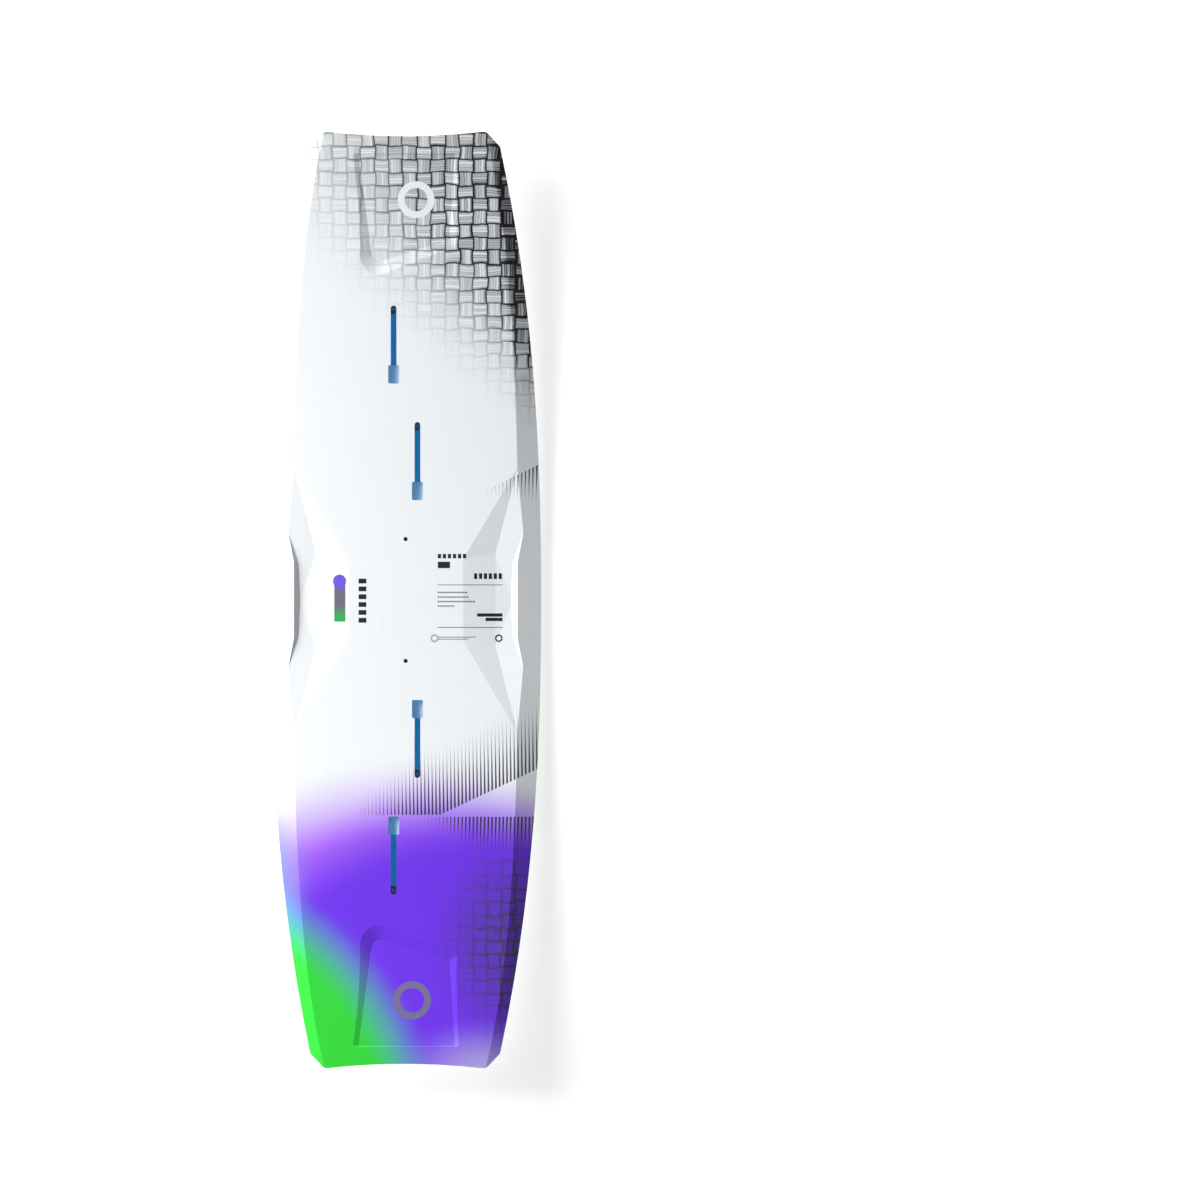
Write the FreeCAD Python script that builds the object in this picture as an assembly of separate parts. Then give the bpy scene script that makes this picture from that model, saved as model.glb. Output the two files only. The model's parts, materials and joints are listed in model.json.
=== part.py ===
import FreeCAD, Part
import math
import os
from FreeCAD import Placement, Rotation, Vector

# Twin-tip kiteboard, bare: no pads, grab handle or fins fitted. Millimetres.
# The board lies deck up. X runs across it (+X is the toe side, -X the heel side), Y along it
# (+Y is the nose, -Y the tail) and Z up. The origin is under the middle of the board, level with
# the lowest points of the base.
#
# It is a sandwich: printed base sheet, glass laminate, a core of glued wooden stringers ringed by
# ABS rails, glass laminate, printed deck sheet. Four track inserts and two handle inserts are let
# into the core from the deck side, and a tee nut slides in each track.

# ---------------------------------------------------------------- outline
LENGTH = 1380.0             # between the outermost points of the two tips
WIDTH = 400.0               # at the middle, the widest place
SIDE_NARROWING = 65.0       # how far each side has drawn in by the tip
SIDE_CURVE = 2.39           # power of that curve: nearly straight amidships, turning in late
TIP_DIP = 7.0               # hollow in the middle of each tip's end
CORNER_CUT_LENGTH = 22.0    # cut-off corner, along the board
CORNER_CUT_WIDTH = 21.0     # cut-off corner, across the board
CORNER_RADIUS = 9.0         # softening of the cut's two corners

# ---------------------------------------------------------------- rocker, thickness, base section
ROCKER = 42.0               # rise of the base from the middle to each tip
MID_THICKNESS = 12.0        # keel to deck, at the middle
TIP_THICKNESS = 7.0         # keel to deck, at the tips
KEEL_LIFT = 0.8             # the keel line stands this much higher than the two outer ridges
VALLEY_LIFT = 3.5           # the two valleys stand this much higher than the outer ridges
VALLEY_INSET = 85.5         # valley line to the side of the board, at the middle
RIDGE_INSET = 20.0          # outer ridge line to the side of the board, at the middle
BASE_BEVEL_RISE = 2.2       # rise of the base from the outer ridge to the side, at the middle

# ---------------------------------------------------------------- deck bevel
BEVEL_MID_WIDTH = 35.0      # bevelled band along each side of the deck, at the middle
BEVEL_TIP_WIDTH = 17.0      # the same band near the tips
BEVEL_EVEN_LENGTH = 130.0   # length before each tip over which the band is of even width
BEVEL_TAPER_CURVE = 1.7     # power of the taper between the two widths
BEVEL_MID_DROP = 5.6        # height lost across the band, at the middle
BEVEL_TIP_DROP = 2.2        # height lost across the band, at the tips
BEVEL_DROP_CURVE = 4.0      # power of the change between the two drops

# ---------------------------------------------------------------- side scoops
SCOOP_EDGE_INSET = 115.0    # upper edge of the scoop to the side of the board
SCOOP_EDGE_HALF = 60.5      # half length of the straight part of that edge
SCOOP_END = 195.0           # where the scoop runs out, from the middle of the board
SCOOP_FLOOR_INSET = 67.5    # where the slope meets the floor, to the side of the board
SCOOP_FLOOR_HALF = 68.0     # half length of the straight part of that line
SCOOP_DEPTH = 2.9           # floor below the deck, at the foot of the slope
SCOOP_FLOOR_FALL = 0.02     # outward fall of the floor, as a slope
UPSTAND_WIDTH = 8.4         # lip between the floor and the deck bevel
UPSTAND_SLOPE = 0.37        # slope of the lip's inner face
UPSTAND_HALF = 56.0         # half length of the lip's straight part
UPSTAND_END = 100.0         # where the lip has run out, from the middle of the board
UPSTAND_FLARE = 8.5         # how far the lip has moved outward there

# ---------------------------------------------------------------- tip recesses
RECESS_TIP_GAP = 33.0       # recess to the end of the board
RECESS_TRACK_GAP = 60.6     # recess floor to the end of the outer track
RECESS_SLANT = 36.0         # how much longer the recess is on its heel side
RECESS_HEEL_TIP = -69.0     # floor corners, across the board
RECESS_HEEL_INNER = -48.0
RECESS_TOE_INNER = 65.0
RECESS_TOE_TIP = 73.0
RECESS_INNER_DEPTH = 2.8    # floor below the deck at the inner end
RECESS_TIP_DEPTH = 1.2      # and towards the tip
RECESS_HEEL_SLOPE = 0.15    # slopes of the four walls
RECESS_INNER_SLOPE = 0.17
RECESS_TOE_SLOPE = 0.19
RECESS_TIP_SLOPE = 1.5
RECESS_HEEL_RADIUS = 14.0   # plan radii of the floor's inner corners
RECESS_TOE_RADIUS = 5.0
RECESS_TIP_RADIUS = 3.0     # and of its two corners at the tip
RECESS_HEEL_FLARE = 5.3     # growth of each plan radius for each millimetre of height
RECESS_TOE_FLARE = 2.5
RECESS_TIP_FLARE = 0.3

# ---------------------------------------------------------------- layers and core
SHEET = 0.4                 # printed sheets
LAMINATE = 0.6              # glass laminates
RAIL_WIDTH = 14.0           # ABS rail around the core
TIP_RAIL_LENGTH = 40.0      # how far the two tip rails reach in from the end
CENTRE_STRINGER = 72.0      # width of the harder middle stringer, which takes the inserts
STRINGERS_PER_SIDE = 4      # lighter stringers between it and each rail
BLOCK_MARGIN = 10.0         # wood that each track's block of that stringer has past the slots

# ---------------------------------------------------------------- tracks and tee nuts
TRACK_LENGTH = 115.0        # slot and entry pocket together
SLOT_WIDTH = 8.5
POCKET_WIDTH = 16.3
POCKET_LENGTH = 27.0
POCKET_RADIUS = 2.5
INNER_TRACK_X = 17.5        # inner tracks lie towards the toe side
INNER_TRACK_START = 147.6   # from the middle of the board
OUTER_TRACK_X = -17.5       # outer tracks lie towards the heel side
OUTER_TRACK_START = 319.4
TRACK_LIP = 1.8             # lips that hold the nut down
CHANNEL_HEIGHT = 3.2        # space for the nut's flange under the lips
CHANNEL_OVERRUN = 4.5       # channel past the slot's round end
TRACK_FLOOR = 1.2
TRACK_WALL = 3.0            # around the channel
TRACK_CORNER = 5.0          # plan radius of the insert's corners
NUT_LENGTH = 15.0
NUT_SIDE_GAP = 0.3          # each side, in the channel and in the slot
NUT_LIFT_GAP = 0.3          # above and below the flange
NUT_NECK_LENGTH = 11.0
NUT_TOP_GAP = 0.6           # nut's top below the deck
NUT_EDGE = 0.5              # softened edge of the flange
SCREW_RADIUS = 2.5          # core of an M6 thread

# ---------------------------------------------------------------- handle inserts
HANDLE_SPACING = 180.0
INSERT_RADIUS = 5.0
INSERT_FLANGE_RADIUS = 7.0
INSERT_FLANGE = 1.0
INSERT_LENGTH = 7.5
INSERT_BORE_DEPTH = 6.5
INSERT_HOLE_RADIUS = 3.1    # clearance hole for the screw, in the laminate and the sheet

HALF_LENGTH = LENGTH / 2
HALF_WIDTH = WIDTH / 2
FAR = 100.0                 # larger than any height of the board
SAME_POINT = 0.001          # corners of a cut nearer than this are one corner
BEYOND = 60.0               # how far the working surfaces run past the outline
LAYERS = SHEET + LAMINATE
BASE_CURVE = ROCKER / HALF_LENGTH ** 2
DECK_CURVE = (ROCKER + TIP_THICKNESS - MID_THICKNESS) / HALF_LENGTH ** 2
DECK_LEVEL = KEEL_LIFT + MID_THICKNESS


# ---------------------------------------------------------------- helpers
def slab(x_range, half_length, plane, curve, reach):
    """Solid above (reach > 0) or below (reach < 0) the surface
    z = a + b x + c y + curve y y, where plane is (a, b, c)."""
    a, b, c = plane
    x0, x1 = x_range
    level = a + b * x0
    ends = [level + c * y + curve * y * y for y in (-half_length, half_length)]
    top = Part.BezierCurve()
    top.setPoles([
        Vector(x0, -half_length, ends[0]),
        Vector(x0, 0, level - curve * half_length ** 2),
        Vector(x0, half_length, ends[1]),
    ])
    corners = [
        Vector(x0, half_length, ends[1]),
        Vector(x0, half_length, ends[1] + reach),
        Vector(x0, -half_length, ends[0] + reach),
        Vector(x0, -half_length, ends[0]),
    ]
    edges = [top.toShape()]
    edges += [Part.makeLine(p, q) for p, q in zip(corners, corners[1:])]
    face = Part.Face(Part.Wire(edges))
    return face.extrude(Vector(x1 - x0, 0, b * (x1 - x0)))


def plane_through(p, q, r):
    """Coefficients (a, b, c) of height = a + b x + c y through three points."""
    normal = (q - p).cross(r - p)
    b = -normal.x / normal.z
    c = -normal.y / normal.z
    return (p.z - b * p.x - c * p.y, b, c)


def mirrored_y(shape):
    return shape.mirror(Vector(0, 0, 0), Vector(0, 1, 0))


def mirrored_x(shape):
    return shape.mirror(Vector(0, 0, 0), Vector(1, 0, 0))


def at_end(shape, end):
    """A nose piece as it is, or its mirror image at the tail."""
    return shape if end == "nose" else mirrored_y(shape)


def lowered(shape, depth):
    return shape.translated(Vector(0, 0, -depth))


def rounded_wire(points, radii, height):
    """Closed wire of straight sides and tangent arcs through a polygon's (x, y) corners."""
    corners = [Vector(x, y, height) for x, y in points]
    count = len(corners)
    starts = []
    ends = []
    arcs = []
    for i in range(count):
        here = corners[i]
        back = (corners[i - 1] - here).normalize()
        forth = (corners[(i + 1) % count] - here).normalize()
        half_angle = back.getAngle(forth) / 2
        run = radii[i] / math.tan(half_angle)
        middle = (back + forth).normalize()
        start = here + back * run
        end = here + forth * run
        top = here + middle * (radii[i] / math.sin(half_angle) - radii[i])
        starts.append(start)
        ends.append(end)
        arcs.append(Part.Arc(start, top, end).toShape())
    edges = []
    for i in range(count):
        edges.append(arcs[i])
        following = starts[(i + 1) % count]
        if ends[i].distanceToPoint(following) > 1e-6:
            edges.append(Part.makeLine(ends[i], following))
    return Part.Wire(edges)


def rounded_box(x_range, y_range, z_range, radius):
    """Upright prism over a rectangle with rounded corners."""
    x0, x1 = x_range
    y0, y1 = y_range
    z0, z1 = z_range
    wire = rounded_wire([(x0, y0), (x1, y0), (x1, y1), (x0, y1)], [radius] * 4, z0)
    return Part.Face(wire).extrude(Vector(0, 0, z1 - z0))


def grown_polygon(points, offsets):
    """Move each side of an anticlockwise polygon outward; side i runs from point i to i + 1."""
    count = len(points)
    lines = []
    for i in range(count):
        p = Vector(points[i][0], points[i][1], 0)
        q = Vector(points[(i + 1) % count][0], points[(i + 1) % count][1], 0)
        along = (q - p).normalize()
        outward = Vector(along.y, -along.x, 0)
        lines.append((p + outward * offsets[i], along))
    corners = []
    for i in range(count):
        p, u = lines[i - 1]
        q, v = lines[i]
        t = (q - p).cross(v).z / u.cross(v).z
        corner = p + u * t
        corners.append((corner.x, corner.y))
    return corners


# ---------------------------------------------------------------- outline
def half_width(y):
    return HALF_WIDTH - SIDE_NARROWING * (abs(y) / HALF_LENGTH) ** SIDE_CURVE


def outline_prism(inset, radius):
    """Upright prism over the board's outline, drawn in by inset all round."""
    turn = inset * math.tan(math.pi / 8)
    side_end = HALF_LENGTH - CORNER_CUT_LENGTH - turn
    tip_y = HALF_LENGTH - inset
    tip_x = half_width(HALF_LENGTH - CORNER_CUT_LENGTH) - CORNER_CUT_WIDTH - turn
    stations = 10
    side_points = []
    for i in range(stations + 1):
        y = side_end * (2 * i / stations - 1)
        side_points.append(Vector(half_width(y) - inset, y, 0))
    toe_side = Part.BSplineCurve()
    toe_side.interpolate(side_points)
    toe = toe_side.toShape()
    heel = mirrored_x(toe)
    side_x = side_points[-1].x
    edges = [toe, heel]
    for end in (1, -1):
        left_corner = Vector(-tip_x, end * tip_y, 0)
        right_corner = Vector(tip_x, end * tip_y, 0)
        middle = Vector(0, end * (tip_y - TIP_DIP), 0)
        edges.append(Part.Arc(left_corner, middle, right_corner).toShape())
        for side, corner in ((-1, left_corner), (1, right_corner)):
            edges.append(Part.makeLine(Vector(side * side_x, end * side_end, 0), corner))
    wire = Part.Wire(Part.__sortEdges__(edges))
    prism = lowered(Part.Face(wire), FAR).extrude(Vector(0, 0, 3 * FAR))
    if radius > 0:
        upright = [
            e for e in prism.Edges
            if abs(e.Vertexes[0].X - e.Vertexes[-1].X) < 1e-6
            and abs(e.Vertexes[0].Y - e.Vertexes[-1].Y) < 1e-6
            and e.Length > 2 * FAR
        ]
        prism = prism.makeFillet(radius, upright)
    return prism


# ---------------------------------------------------------------- base
def base_level(x):
    """Height of the base's section at the middle of the board."""
    valley = HALF_WIDTH - VALLEY_INSET
    ridge = HALF_WIDTH - RIDGE_INSET
    if abs(x) <= valley:
        return KEEL_LIFT + (VALLEY_LIFT - KEEL_LIFT) * abs(x) / valley
    if abs(x) <= ridge:
        return VALLEY_LIFT * (ridge - abs(x)) / (ridge - valley)
    return BASE_BEVEL_RISE * (abs(x) - ridge) / RIDGE_INSET


def under_base():
    """All the space below the base: six facets, each following the rocker."""
    stations = [0.0, HALF_WIDTH - VALLEY_INSET, HALF_WIDTH - RIDGE_INSET, HALF_WIDTH + BEYOND]
    space = None
    for x0, x1 in zip(stations, stations[1:]):
        slope = (base_level(x1) - base_level(x0)) / (x1 - x0)
        plane = (base_level(x0) - slope * x0, slope, 0)
        facet = slab((x0, x1), HALF_LENGTH + BEYOND, plane, BASE_CURVE, -FAR)
        pair = [facet, mirrored_x(facet)]
        if space is None:
            space = pair[0].fuse(pair[1])
        else:
            space = space.fuse(pair)
    return space


# ---------------------------------------------------------------- deck
def deck_height(y):
    return DECK_LEVEL + DECK_CURVE * y * y


def bevel_width(y):
    taper_length = HALF_LENGTH - BEVEL_EVEN_LENGTH
    share = min(1.0, abs(y) / taper_length) ** BEVEL_TAPER_CURVE
    return BEVEL_MID_WIDTH - (BEVEL_MID_WIDTH - BEVEL_TIP_WIDTH) * share


def bevel_drop(y):
    share = (abs(y) / HALF_LENGTH) ** BEVEL_DROP_CURVE
    return BEVEL_MID_DROP - (BEVEL_MID_DROP - BEVEL_TIP_DROP) * share


def bevel_tool():
    """What is taken off along the toe side of the deck."""
    overshoot = 0.6         # how far the bevel's surface runs past its two edges
    stations = 12
    reach = HALF_LENGTH + CORNER_CUT_LENGTH
    inner = []
    outer = []
    steps = []
    for i in range(stations + 1):
        y = reach * (2 * i / stations - 1)
        crease = Vector(half_width(y) - bevel_width(y), y, deck_height(y))
        rail = Vector(half_width(y), y, deck_height(y) - bevel_drop(y))
        inner.append(crease + (crease - rail) * overshoot)
        outer.append(rail + (rail - crease) * overshoot)
        steps.append(i / stations)
    lines = []
    for points in (inner, outer):
        line = Part.BSplineCurve()
        line.interpolate(Points=points, Parameters=steps)
        lines.append(line.toShape())
    return Part.makeRuledSurface(lines[0], lines[1]).extrude(Vector(0, 0, FAR))


def scoop_tool():
    """What is taken off for the toe side's scoop. Heights are measured from the deck."""
    edge = HALF_WIDTH - SCOOP_EDGE_INSET
    foot = HALF_WIDTH - SCOOP_FLOOR_INSET
    ridge = HALF_WIDTH - BEVEL_MID_WIDTH
    bevel_slope = BEVEL_MID_DROP / BEVEL_MID_WIDTH
    flare_height = -UPSTAND_FLARE * bevel_slope
    slope = -SCOOP_DEPTH / (foot - edge)
    floor_at_lip = -SCOOP_DEPTH - SCOOP_FLOOR_FALL * (ridge - UPSTAND_WIDTH - foot)

    def facet(plane):
        a, b, c = plane
        return slab(
            (HALF_WIDTH - SCOOP_EDGE_INSET - BEYOND, HALF_WIDTH + BEYOND),
            SCOOP_END + BEYOND,
            (a + DECK_LEVEL, b, c),
            DECK_CURVE,
            FAR,
        )

    def both_ends(plane):
        a, b, c = plane
        return [facet(plane), facet((a, b, -c))]

    corner = Vector(foot, SCOOP_FLOOR_HALF, -SCOOP_DEPTH)
    run_out = Vector(ridge, SCOOP_END, 0)
    lip_end = Vector(ridge + UPSTAND_FLARE, UPSTAND_END, flare_height)
    straight_slope = facet((-slope * edge, slope, 0))
    flat_floor = facet((-SCOOP_DEPTH + SCOOP_FLOOR_FALL * foot, -SCOOP_FLOOR_FALL, 0))
    slopes = both_ends(plane_through(Vector(edge, SCOOP_EDGE_HALF, 0), run_out, corner))
    floors = both_ends(plane_through(run_out, lip_end, corner))
    lip = facet((-UPSTAND_SLOPE * ridge, UPSTAND_SLOPE, 0))
    lip_ends = both_ends(plane_through(
        Vector(ridge, UPSTAND_HALF, 0),
        lip_end,
        Vector(ridge - UPSTAND_WIDTH, UPSTAND_HALF, floor_at_lip),
    ))
    tool = straight_slope.common(flat_floor)
    for piece in slopes + floors:
        tool = tool.common(piece)
    return tool.common(lip.fuse(lip_ends))


def recess_tool():
    """What is taken off for the nose's recess: a tapered block standing on the recess floor."""
    tip_end = HALF_LENGTH - RECESS_TIP_GAP
    length = tip_end - (OUTER_TRACK_START + TRACK_LENGTH + RECESS_TRACK_GAP)
    low_tip = deck_height(tip_end) - RECESS_TIP_DEPTH
    low_inner = deck_height(tip_end - length) - RECESS_INNER_DEPTH
    tilt = math.degrees(math.atan2(low_tip - low_inner, length))
    height = 6.0            # clears the deck by more than its curve
    floor = [
        (RECESS_HEEL_INNER, -length),
        (RECESS_TOE_INNER, RECESS_SLANT - length),
        (RECESS_TOE_TIP, 0.0),
        (RECESS_HEEL_TIP, 0.0),
    ]
    slopes = [RECESS_INNER_SLOPE, RECESS_TOE_SLOPE, RECESS_TIP_SLOPE, RECESS_HEEL_SLOPE]
    radii = [RECESS_HEEL_RADIUS, RECESS_TOE_RADIUS, RECESS_TIP_RADIUS, RECESS_TIP_RADIUS]
    flares = [RECESS_HEEL_FLARE, RECESS_TOE_FLARE, RECESS_TIP_FLARE, RECESS_TIP_FLARE]
    above = grown_polygon(floor, [height / slope for slope in slopes])
    wires = [
        rounded_wire(floor, radii, 0.0),
        rounded_wire(above, [r + f * height for r, f in zip(radii, flares)], height),
    ]
    tool = Part.makeLoft(wires, True, True)
    tool.Placement = Placement(Vector(0, tip_end, low_tip), Rotation(Vector(1, 0, 0), tilt))
    return tool


def under_deck():
    """All the space below the deck, with its bevels, scoops and recesses."""
    across = (-HALF_WIDTH - BEYOND, HALF_WIDTH + BEYOND)
    space = slab(across, HALF_LENGTH + BEYOND, (DECK_LEVEL, 0, 0), DECK_CURVE, -FAR)
    bevel = bevel_tool()
    scoop = scoop_tool()
    recess = recess_tool()
    for tool in (bevel, mirrored_x(bevel), scoop, mirrored_x(scoop), recess, mirrored_y(recess)):
        space = space.cut(tool)
    return space


# ---------------------------------------------------------------- tracks
def track_placement(x, start):
    """Frame of a nose track: origin on the deck at the track's middle, Y towards the nose."""
    middle = start + TRACK_LENGTH / 2
    tilt = math.degrees(math.atan(2 * DECK_CURVE * middle))
    return Placement(Vector(x, middle, deck_height(middle)), Rotation(Vector(1, 0, 0), tilt))


def placed(shape, place):
    shape.Placement = place
    return shape


CHANNEL_TOP = -(LAYERS + TRACK_LIP)
CHANNEL_BOTTOM = CHANNEL_TOP - CHANNEL_HEIGHT
SLOT_END = TRACK_LENGTH / 2
CHANNEL_END = SLOT_END + CHANNEL_OVERRUN


def track_opening():
    """Slot and entry pocket, open upwards."""
    slot = rounded_box(
        (-SLOT_WIDTH / 2, SLOT_WIDTH / 2),
        (POCKET_LENGTH / 2 - SLOT_END, SLOT_END),
        (CHANNEL_BOTTOM, FAR / 10),
        SLOT_WIDTH / 2,
    )
    pocket = rounded_box(
        (-POCKET_WIDTH / 2, POCKET_WIDTH / 2),
        (-SLOT_END, POCKET_LENGTH - SLOT_END),
        (CHANNEL_BOTTOM, FAR / 10),
        POCKET_RADIUS,
    )
    return slot.fuse(pocket)


def track_channel():
    """Space for the nut's flange, under the lips."""
    return rounded_box(
        (-POCKET_WIDTH / 2, POCKET_WIDTH / 2),
        (-SLOT_END, CHANNEL_END),
        (CHANNEL_BOTTOM, CHANNEL_TOP),
        POCKET_RADIUS,
    )


def track_block():
    """Outside of a track insert, before its top is trimmed to the laminate."""
    side = POCKET_WIDTH / 2 + TRACK_WALL
    return rounded_box(
        (-side, side),
        (-SLOT_END - TRACK_WALL, CHANNEL_END + TRACK_WALL),
        (CHANNEL_BOTTOM - TRACK_FLOOR, FAR / 10),
        TRACK_CORNER,
    )


def tee_nut():
    """Flanged nut, parked at the round end of the slot."""
    flange_half = POCKET_WIDTH / 2 - NUT_SIDE_GAP
    neck_half = SLOT_WIDTH / 2 - NUT_SIDE_GAP
    centre = SLOT_END - NUT_SIDE_GAP - NUT_NECK_LENGTH / 2
    flange_bottom = CHANNEL_BOTTOM + NUT_LIFT_GAP
    flange_top = CHANNEL_TOP - NUT_LIFT_GAP
    flange = rounded_box(
        (-flange_half, flange_half),
        (centre - NUT_LENGTH / 2, centre + NUT_LENGTH / 2),
        (flange_bottom, flange_top),
        POCKET_RADIUS,
    )
    rims = [e for e in flange.Edges if abs(e.BoundBox.ZMax - e.BoundBox.ZMin) < 1e-6]
    flange = flange.makeChamfer(NUT_EDGE, rims)
    neck = rounded_box(
        (-neck_half, neck_half),
        (centre - NUT_NECK_LENGTH / 2, centre + NUT_NECK_LENGTH / 2),
        (flange_bottom + NUT_EDGE, -NUT_TOP_GAP),
        neck_half,
    )
    bore = Part.makeCylinder(SCREW_RADIUS, FAR, Vector(0, centre, -FAR / 2))
    return flange.fuse(neck).cut(bore)


# ---------------------------------------------------------------- handle inserts
def handle_insert(y):
    """Outside of a threaded insert with a flange, before its top is trimmed to the laminate."""
    top = deck_height(y) - LAYERS
    spare = INSERT_FLANGE
    flange = Part.makeCylinder(
        INSERT_FLANGE_RADIUS, INSERT_FLANGE + spare, Vector(0, y, top - INSERT_FLANGE))
    barrel = Part.makeCylinder(
        INSERT_RADIUS, INSERT_LENGTH, Vector(0, y, top - INSERT_LENGTH))
    return flange.fuse(barrel)


def handle_bore(y):
    """The insert's threaded hole."""
    bottom = deck_height(y) - LAYERS - INSERT_BORE_DEPTH
    return Part.makeCylinder(SCREW_RADIUS, FAR, Vector(0, y, bottom))


def handle_hole(y):
    """The hole for the screw through the laminate and the sheet."""
    return Part.makeCylinder(
        INSERT_HOLE_RADIUS, 4 * LAYERS, Vector(0, y, deck_height(y) - 2 * LAYERS))


# ---------------------------------------------------------------- the board
def single(shape):
    """The one solid that a boolean leaves, checked."""
    solids = shape.Solids
    if len(solids) != 1 or not solids[0].isValid():
        raise ValueError("expected one valid solid, got %d" % len(solids))
    return solids[0]


def build():
    nodes = {}
    outline = outline_prism(0.0, CORNER_RADIUS)
    core_outline = outline_prism(RAIL_WIDTH, 0.0)
    deck = under_deck()
    deck_glass = lowered(deck, SHEET)
    deck_wood = lowered(deck, LAYERS)
    base = under_base()
    base_glass = lowered(base, -SHEET)
    base_wood = lowered(base, -LAYERS)

    # The ring of rails and the core inside it.
    middle = outline.common(deck_wood).cut(base_wood)
    ring = middle.cut(core_outline)
    core = middle.common(core_outline)
    inner_y = HALF_LENGTH - TIP_RAIL_LENGTH
    wide = HALF_WIDTH + BEYOND
    side_block = Part.makeBox(wide, 2 * inner_y, FAR, Vector(0, -inner_y, -FAR / 4))
    nodes["toe_rail"] = ring.common(side_block)
    nodes["heel_rail"] = ring.common(mirrored_x(side_block))
    tip_block = Part.makeBox(2 * wide, wide, FAR, Vector(-wide, inner_y, -FAR / 4))
    nodes["nose_rail"] = ring.common(tip_block)
    nodes["tail_rail"] = ring.common(mirrored_y(tip_block))

    # Core stringers, side by side along the board.
    long_half = HALF_LENGTH + BEYOND
    centre_half = CENTRE_STRINGER / 2
    step = (HALF_WIDTH - RAIL_WIDTH - centre_half) / STRINGERS_PER_SIDE
    centre_box = Part.makeBox(
        CENTRE_STRINGER, 2 * long_half, FAR, Vector(-centre_half, -long_half, -FAR / 4))
    centre = core.common(centre_box)
    for i in range(STRINGERS_PER_SIDE):
        start = centre_half + i * step
        last = i == STRINGERS_PER_SIDE - 1
        width = step + (BEYOND if last else 0.0)
        box = Part.makeBox(width, 2 * long_half, FAR, Vector(start, -long_half, -FAR / 4))
        nodes["core_stringer_toe_%d" % (i + 1)] = core.common(box)
        nodes["core_stringer_heel_%d" % (i + 1)] = core.common(mirrored_x(box))

    # Tracks, each with its nut. A track stands no deeper than the laminate under the core. Openings
    # are what the sheet and laminate above leave free.
    openings = []
    tracks = {
        "inner": track_placement(INNER_TRACK_X, INNER_TRACK_START),
        "outer": track_placement(OUTER_TRACK_X, OUTER_TRACK_START),
    }
    for name, place in tracks.items():
        for end in ("nose", "tail"):
            block, channel, opening, nut = [
                at_end(placed(shape(), place), end)
                for shape in (track_block, track_channel, track_opening, tee_nut)
            ]
            body = block.common(deck_wood, SAME_POINT).cut([opening, channel], SAME_POINT)
            body = body.cut(base_wood)
            nodes["track_%s_%s" % (end, name)] = body
            nodes["track_nut_%s_%s" % (end, name)] = nut
            centre = centre.cut(block)
            openings.append(opening)

    # Handle inserts.
    for end in ("nose", "tail"):
        body, bore, hole = [
            at_end(shape(HANDLE_SPACING / 2), end)
            for shape in (handle_insert, handle_bore, handle_hole)
        ]
        nodes["handle_insert_" + end] = body.common(deck_wood).cut(bore)
        centre = centre.cut(body)
        openings.append(hole)

    # The middle stringer in its lengths: a block round each track, and plain wood between.
    block_start = INNER_TRACK_START - BLOCK_MARGIN
    block_joint = (INNER_TRACK_START + TRACK_LENGTH + OUTER_TRACK_START) / 2
    block_end = OUTER_TRACK_START + TRACK_LENGTH + BLOCK_MARGIN
    lengths = [
        ("core_block_%s_inner", block_start, block_joint),
        ("core_block_%s_outer", block_joint, block_end),
        ("core_centre_%s", block_end, long_half),
    ]
    for end in ("nose", "tail"):
        for name, y0, y1 in lengths:
            box = Part.makeBox(2 * wide, y1 - y0, FAR, Vector(-wide, y0, -FAR / 4))
            nodes[name % end] = centre.common(at_end(box, end))
    middle_box = Part.makeBox(2 * wide, 2 * block_start, FAR, Vector(-wide, -block_start, -FAR / 4))
    nodes["core_centre_middle"] = centre.common(middle_box)

    # Sheets and laminates over the whole outline.
    pierced = outline.cut(openings)
    upper = pierced.common(deck_glass, SAME_POINT)
    nodes["deck_laminate"] = upper.cut(deck_wood, SAME_POINT)
    upper = pierced.common(deck, SAME_POINT)
    nodes["deck_sheet"] = upper.cut(deck_glass, SAME_POINT)
    nodes["base_laminate"] = outline.common(base_wood).cut(base_glass)
    nodes["base_sheet"] = outline.common(base_glass).cut(base)
    return nodes


os.makedirs("parts", exist_ok=True)
for node, shape in build().items():
    solid = single(shape)
    solid.exportStep("parts/%s.step" % node)
    print("%-24s %9.1f mm3  %3d faces" % (node, solid.Volume, len(solid.Faces)))
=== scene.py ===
# %% [markdown]
# # A twin-tip kiteboard
# A kiteboard is a sandwich: printed top and bottom sheets, glass laminates, plastic rails all round
# and a light wooden core. The measured parts arrive already in place, so this lesson gives each of
# them the finish of the real material, and then lights the board as a studio would.

# %% Load the measured parts
import bpy
import json
import math
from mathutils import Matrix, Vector


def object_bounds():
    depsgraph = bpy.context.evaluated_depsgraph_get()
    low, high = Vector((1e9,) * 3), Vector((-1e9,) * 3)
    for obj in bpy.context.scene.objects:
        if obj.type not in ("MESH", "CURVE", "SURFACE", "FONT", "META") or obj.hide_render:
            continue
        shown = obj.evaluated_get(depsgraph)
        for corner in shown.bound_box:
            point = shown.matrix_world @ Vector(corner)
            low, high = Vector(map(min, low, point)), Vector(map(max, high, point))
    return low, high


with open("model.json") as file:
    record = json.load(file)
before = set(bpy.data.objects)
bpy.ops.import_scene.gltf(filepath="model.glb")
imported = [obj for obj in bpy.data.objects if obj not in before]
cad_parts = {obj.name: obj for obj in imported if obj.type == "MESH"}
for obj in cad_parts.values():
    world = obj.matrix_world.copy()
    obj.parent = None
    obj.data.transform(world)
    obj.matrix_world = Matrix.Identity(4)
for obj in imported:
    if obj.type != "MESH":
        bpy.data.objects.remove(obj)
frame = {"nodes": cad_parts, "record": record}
cad_low, cad_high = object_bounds()
nodes = frame["nodes"]
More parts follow.
